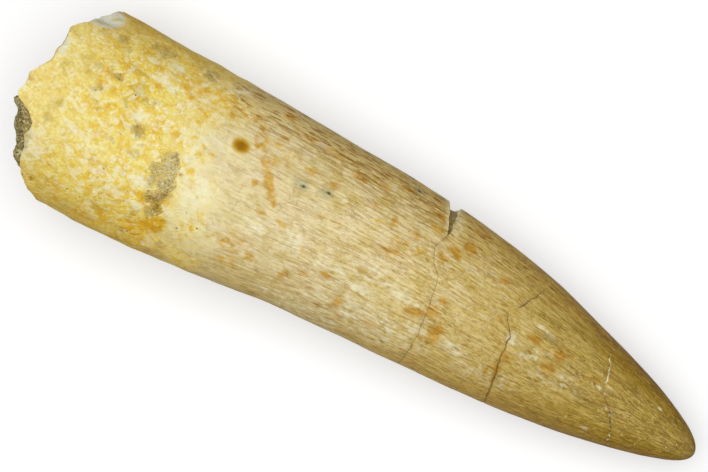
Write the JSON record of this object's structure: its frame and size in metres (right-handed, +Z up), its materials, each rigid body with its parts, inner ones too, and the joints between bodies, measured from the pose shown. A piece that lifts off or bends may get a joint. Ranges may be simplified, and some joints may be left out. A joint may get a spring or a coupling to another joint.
{
  "type": "fossil plesiosaur tooth",
  "caption": "Fossil marine reptile tooth with its root, lying on its side: a curved, ridged cone with glued breaks, a chipped edge and sandy matrix in the broken root.",
  "frame": {"origin": "on the surface that the tooth rests on, under the middle of its bounding box", "axes": "+X along the tooth from the broken root to the tip, +Y across it towards its bulging edge with the notch, +Z up, out of the surface that it rests on"},
  "size_m": [0.0512, 0.0138, 0.0126],
  "materials": {
    "tooth": "mineralised enamel and dentine: yellow mottled root, cream to olive-tan ridged crown, satin",
    "matrix_plug": "rough, granular, olive-brown sandy rock",
    "matrix_crust": "rough, granular, pale olive sandy rock"
  },
  "bodies": {
    "root": {"tooth": "tooth", "matrix_plug": "matrix_plug", "matrix_crust": "matrix_crust"}
  },
  "joints": []
}
